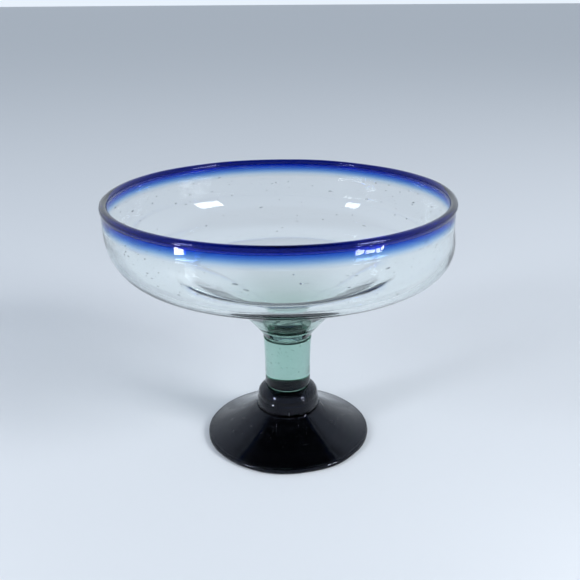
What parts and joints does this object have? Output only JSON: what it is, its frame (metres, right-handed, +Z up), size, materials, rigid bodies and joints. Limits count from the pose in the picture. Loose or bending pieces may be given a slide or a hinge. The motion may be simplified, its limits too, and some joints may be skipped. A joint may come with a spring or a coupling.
{
  "type": "margarita glass",
  "caption": "Hand-blown stemmed cocktail glass with a wide saucer bowl over a conical well, a solid stem and a cobalt lip, knop and foot.",
  "frame": {"origin": "middle of the foot, in the plane that the foot rests on", "axes": "+Z up along the axis of the stem; X and Y in the table, and the glass is round about Z"},
  "size_m": [0.1648, 0.1648, 0.1274],
  "materials": {
    "cobalt_glass": "fire-polished, near-black cobalt",
    "aqua_glass": "fire-polished, aqua tinted, with seeds",
    "clear_glass": "fire-polished, faint aqua tint, with seeds",
    "cobalt_lip_glass": "fire-polished cobalt that thins downwards"
  },
  "bodies": {
    "root": {"foot": "cobalt_glass", "knop": "cobalt_glass", "stem": "aqua_glass", "bowl": "clear_glass", "rim_wrap": "cobalt_lip_glass"}
  },
  "joints": []
}
